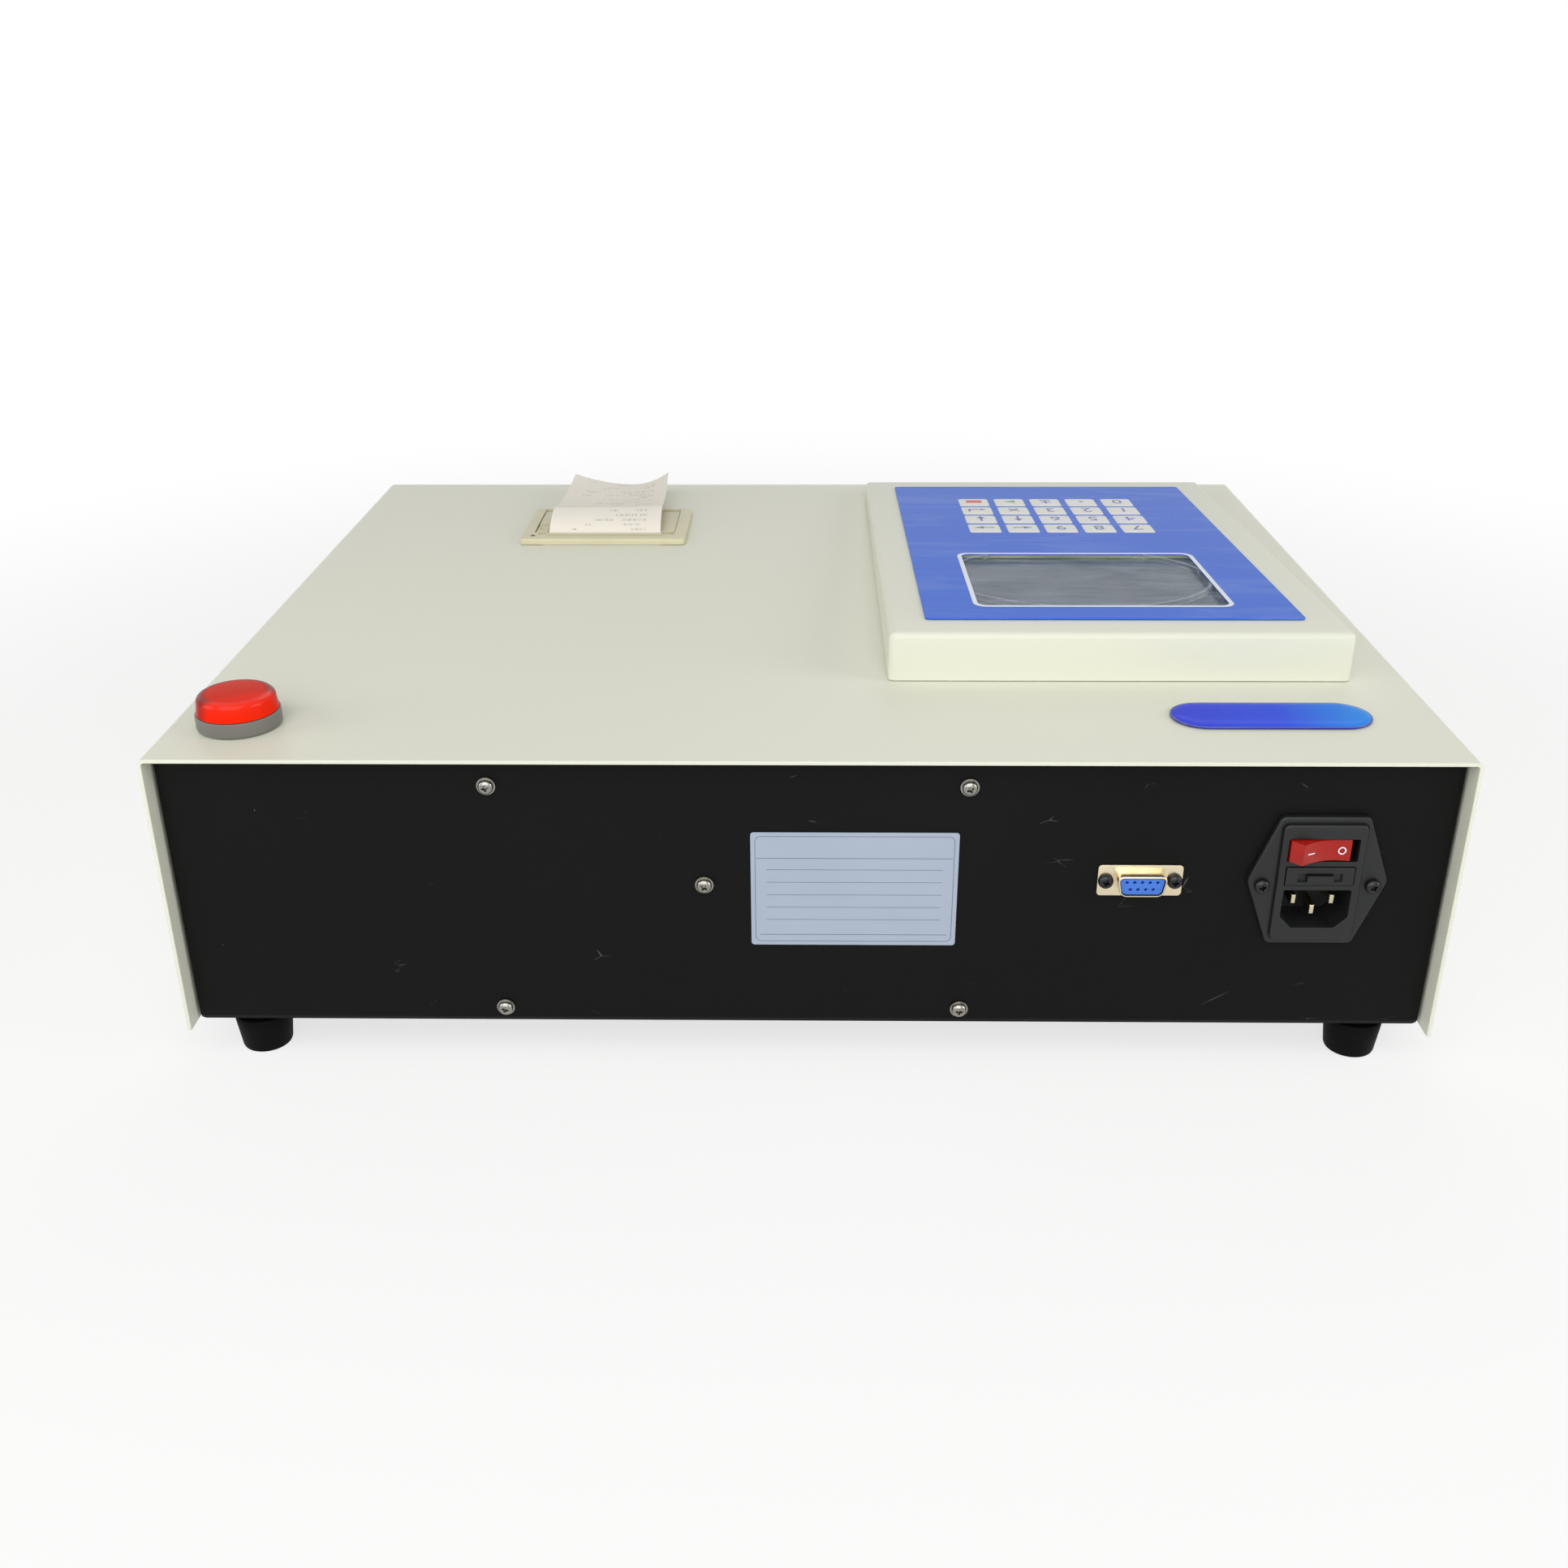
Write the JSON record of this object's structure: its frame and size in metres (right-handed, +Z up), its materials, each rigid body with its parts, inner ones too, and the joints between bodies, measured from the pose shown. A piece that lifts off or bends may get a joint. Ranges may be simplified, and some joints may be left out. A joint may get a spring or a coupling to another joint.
{
  "type": "x-ray fluorescence analyzer",
  "caption": "Low box-shaped benchtop analyser with a sloping keypad console, panel printer, warning lamp, rear mains inlet and a front sample drawer.",
  "frame": {"origin": "on the surface that the feet stand on, under the middle of the whole body, drawer knob and switch included", "axes": "+Z up, the user sits at -Y, the connectors are at +Y, +X is at the user's right hand"},
  "size_m": [0.4748, 0.397, 0.1511],
  "materials": {
    "cover_paint": "fine satin powder coat, warm cream",
    "panel_paint": "satin black powder coat",
    "rubber": "matt black",
    "screw_steel": "zinc-plated",
    "black_steel": "blackened",
    "zinc_sheet": "zinc-plated sheet",
    "aluminium": "machined",
    "tube_metal": null,
    "nickel": "nickel plate",
    "brass": "plain",
    "black_plastic": "moulded nylon",
    "grey_plastic": "moulded ABS",
    "beige_plastic": "moulded ABS, beige",
    "white_nylon": "natural nylon",
    "red_plastic": "translucent red-orange",
    "red_lens": "translucent red polycarbonate",
    "blue_plastic": "moulded, light blue",
    "blue_film": "printed polyester film, fine texture",
    "blue_resin": "clear domed resin over blue",
    "label_film": "silver-grey film",
    "clear_acrylic": "clear, polished",
    "display_glass": "grey liquid-crystal glass",
    "circuit_board": "green solder resist",
    "paper": "thermal paper",
    "knob_black": "phenolic",
    "supply_cage": null,
    "potting": "potted block"
  },
  "bodies": {
    "case": {"chassis_tray": "panel_paint", "top_cover": "cover_paint", "foot_rear_left": "rubber", "foot_rear_right": "rubber", "foot_front_left": "rubber", "foot_front_right": "rubber", "cover_screw_left_front": "screw_steel", "cover_screw_left_rear": "screw_steel", "cover_screw_right_front": "screw_steel", "cover_screw_right_rear": "screw_steel", "rear_screw_top_left": "screw_steel", "rear_screw_top_right": "screw_steel", "rear_screw_bottom_left": "screw_steel", "rear_screw_bottom_right": "screw_steel", "rear_screw_middle": "screw_steel", "rating_label": "label_film", "inlet_housing": "black_plastic", "inlet_screw_left": "screw_steel", "inlet_screw_right": "screw_steel", "serial_shell": "nickel", "serial_insert": "blue_plastic", "serial_screw_left": "black_steel", "serial_screw_right": "black_steel", "lamp_base": "grey_plastic", "lamp_lens": "red_lens", "lamp_led_board": "circuit_board", "badge_plate": "blue_resin", "printer_bezel": "beige_plastic", "printer_bucket": "black_plastic", "door_pin": "screw_steel", "printer_motor": "screw_steel", "print_head": "aluminium", "console_housing": "cover_paint", "keypad_overlay": "blue_film", "display_window": "clear_acrylic", "display_module": "display_glass", "keypad_board": "circuit_board", "head_frame": "zinc_sheet", "measuring_head": "aluminium", "x_ray_tube": "tube_metal", "detector_tube": "tube_metal", "rear_bracket": "zinc_sheet", "power_supply": "supply_cage", "hv_supply": "potting", "main_board": "circuit_board"},
    "rocker": {"power_rocker": "red_plastic"},
    "fuse_carrier": {"fuse_drawer": "black_plastic", "fuse": "brass"},
    "paper_door": {"printer_door": "beige_plastic"},
    "strip": {"paper_strip": "paper"},
    "door_button": {"release_button": "beige_plastic"},
    "platen": {"platen_roller": "rubber", "platen_gear": "white_nylon"},
    "idler": {"idler_gear": "white_nylon"},
    "pinion": {"motor_pinion": "brass"},
    "roll": {"paper_roll": "paper"},
    "drawer": {"sample_drawer": "aluminium", "drawer_front": "panel_paint", "drawer_knob": "knob_black", "sample_cup": "screw_steel"}
  },
  "joints": [
    {"name": "rocker_tilt", "type": "hinge", "parent": "case", "child": "rocker", "pos_m": [-0.1851, 0.19322, 0.0952], "axis": [0, 0, -1], "range_deg": [0, 26]},
    {"name": "fuse_drawer_slide", "type": "slide", "parent": "case", "child": "fuse_carrier", "axis": [0, 1, 0], "range_m": [0, 0.016]},
    {"name": "paper_door_hinge", "type": "hinge", "parent": "case", "child": "paper_door", "pos_m": [0.1015, -0.11208, 0.1314], "axis": [1, 0, 0], "range_deg": [0, 95]},
    {"name": "strip_swing", "type": "hinge", "parent": "paper_door", "child": "strip", "pos_m": [0.1019, -0.07368, 0.128], "axis": [1, 0, 0], "range_deg": [-95, 0]},
    {"name": "release_button_press", "type": "slide", "parent": "paper_door", "child": "door_button", "axis": [0, 0, -1], "range_m": [0, 0.0008], "stiffness_N_per_m": 200},
    {"name": "platen_spin", "type": "hinge", "parent": "paper_door", "child": "platen", "pos_m": [0.1015, -0.07808, 0.1265], "axis": [1, 0, 0], "continuous": true},
    {"name": "idler_spin", "type": "hinge", "parent": "case", "child": "idler", "pos_m": [0.1015, -0.07288, 0.12042], "axis": [1, 0, 0], "continuous": true},
    {"name": "pinion_spin", "type": "hinge", "parent": "case", "child": "pinion", "pos_m": [0.1015, -0.06706, 0.11752], "axis": [1, 0, 0], "continuous": true},
    {"name": "roll_spin", "type": "hinge", "parent": "case", "child": "roll", "pos_m": [0.1019, -0.09288, 0.1019], "axis": [1, 0, 0], "continuous": true},
    {"name": "sample_drawer_slide", "type": "slide", "parent": "case", "child": "drawer", "axis": [0, -1, 0], "range_m": [0, 0.125]}
  ],
  "couplings": [
    {"joint": "strip_swing", "follows": "paper_door_hinge", "ratio": -1},
    {"joint": "platen_spin", "follows": "roll_spin", "ratio": 3.75},
    {"joint": "idler_spin", "follows": "roll_spin", "ratio": -3.75},
    {"joint": "pinion_spin", "follows": "roll_spin", "ratio": 6}
  ]
}
